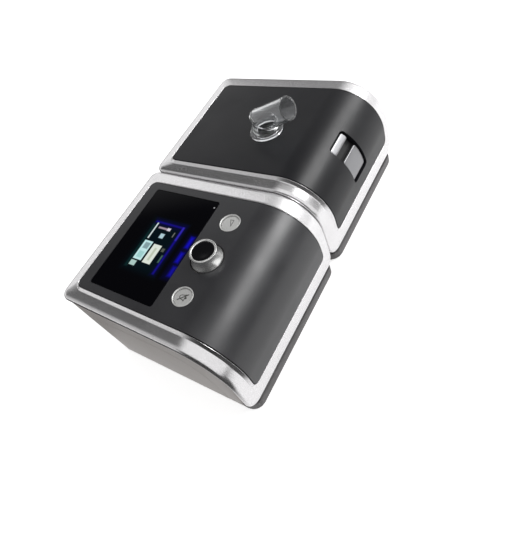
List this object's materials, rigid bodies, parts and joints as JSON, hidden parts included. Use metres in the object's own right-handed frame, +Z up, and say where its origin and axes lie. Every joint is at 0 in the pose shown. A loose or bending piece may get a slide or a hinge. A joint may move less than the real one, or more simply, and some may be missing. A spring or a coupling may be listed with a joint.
{
  "type": "bedside breathing pump with water humidifier",
  "caption": "Bedside air pump with a slanted screen, a dial and two buttons, docked to a humidifier whose lid carries a swivelling clear outlet elbow.",
  "frame": {"origin": "centre of the object's footprint on the table, at table height", "axes": "+X from the pump to the humidifier, +Y from the front to the back, +Z up"},
  "size_m": [0.341, 0.2019, 0.1501],
  "materials": {
    "silver": "satin silver painted plastic",
    "panel": "satin charcoal plastic",
    "grey": "warm light grey moulded plastic",
    "dark": "dark grey moulded plastic",
    "black": "glossy black plastic",
    "matte_black": "matt black plastic",
    "button": "light silver grey plastic",
    "steel": "brushed metal",
    "rubber": "soft dark rubber",
    "board": "green laminate",
    "light": "blue translucent plastic",
    "clear": "clear moulded plastic",
    "white": "white moulded plastic",
    "filter": "grey fibre pad"
  },
  "bodies": {
    "main_unit": {"main_frame": "silver", "main_upper_case": "grey", "main_lower_case": "grey", "main_base": "dark", "main_foot_front_left": "rubber", "main_foot_front_right": "rubber", "main_foot_back_left": "rubber", "main_foot_back_right": "rubber", "main_panel": "panel", "display_window": "black", "display_module": "matte_black", "arc_light_guide": "light", "mute_bezel": "silver", "ramp_bezel": "silver", "keypad_board": "board", "encoder_housing": "matte_black", "blower_mount": "rubber", "blower_lower_housing": "matte_black", "blower_upper_housing": "matte_black", "motor_stator": "steel", "outlet_duct": "matte_black", "dock_seal": "rubber", "intake_box": "dark", "air_filter": "filter", "power_inlet": "matte_black", "card_reader": "steel", "main_board": "board"},
    "knob_pusher": {"encoder_plunger": "white"},
    "knob": {"knob_shaft": "steel", "knob_body": "steel", "knob_cap": "black"},
    "ramp_key": {"ramp_button": "button"},
    "mute_key": {"mute_button": "button"},
    "rotor": {"impeller": "white", "motor_rotor": "steel"},
    "filter_door": {"filter_cover": "dark"},
    "card": {"memory_card": "black"},
    "lid": {"lid_frame": "silver", "lid_panel": "panel", "lid_liner": "matte_black", "lid_seal": "rubber", "latch_trim": "silver"},
    "elbow": {"outlet_elbow": "clear", "elbow_ring": "rubber"},
    "latch": {"latch_lever": "button"},
    "humidifier": {"humidifier_case": "grey", "humidifier_base": "dark", "humidifier_foot_front_left": "rubber", "humidifier_foot_front_right": "rubber", "humidifier_foot_back_left": "rubber", "humidifier_foot_back_right": "rubber", "heater_plate": "steel", "humidifier_board": "board", "chamber_plate": "steel", "chamber_tub": "clear", "chamber_gasket": "rubber", "chamber_cover": "clear", "inlet_duct": "dark", "hinge_pin_left": "steel", "hinge_pin_right": "steel"}
  },
  "joints": [
    {"name": "knob_press", "type": "slide", "parent": "main_unit", "child": "knob_pusher", "axis": [0, 0.0819, -0.9966], "range_m": [0, 0.0008], "stiffness_N_per_m": 4000, "springref_m": -0.0005},
    {"name": "knob_turn", "type": "hinge", "parent": "knob_pusher", "child": "knob", "pos_m": [-0.0841, -0.03514, 0.10691], "axis": [0, -0.0819, 0.9966], "continuous": true},
    {"name": "ramp_button_press", "type": "slide", "parent": "main_unit", "child": "ramp_key", "axis": [0, 0.0819, -0.9966], "range_m": [0, 0.0008], "stiffness_N_per_m": 2500, "springref_m": -0.0004},
    {"name": "mute_button_press", "type": "slide", "parent": "main_unit", "child": "mute_key", "axis": [0, 0.0819, -0.9966], "range_m": [0, 0.0008], "stiffness_N_per_m": 2500, "springref_m": -0.0004},
    {"name": "impeller_spin", "type": "hinge", "parent": "main_unit", "child": "rotor", "pos_m": [-0.09785, -0.00326, 0.026], "axis": [0, 0, 1], "continuous": true},
    {"name": "filter_cover_pull", "type": "slide", "parent": "main_unit", "child": "filter_door", "axis": [0, 1, 0], "range_m": [0, 0.025]},
    {"name": "memory_card_slide", "type": "slide", "parent": "main_unit", "child": "card", "axis": [0, 1, 0], "range_m": [0, 0.02]},
    {"name": "humidifier_dock", "type": "slide", "parent": "main_unit", "child": "humidifier", "axis": [1, 0, 0], "range_m": [0, 0.045]},
    {"name": "lid_hinge", "type": "hinge", "parent": "humidifier", "child": "lid", "pos_m": [0.0889, 0.09895, 0.1068], "axis": [-1, 0, 0], "range_deg": [0, 90]},
    {"name": "elbow_swivel", "type": "hinge", "parent": "lid", "child": "elbow", "pos_m": [0.0801, -0.01082, 0.10891], "axis": [0, -0.0819, 0.9966], "continuous": true},
    {"name": "latch_pull", "type": "hinge", "parent": "lid", "child": "latch", "pos_m": [0.0856, -0.09617, 0.05951], "axis": [1, 0, 0], "range_deg": [0, 20], "stiffness_Nm_per_rad": 0.1, "springref_deg": -5.73}
  ]
}
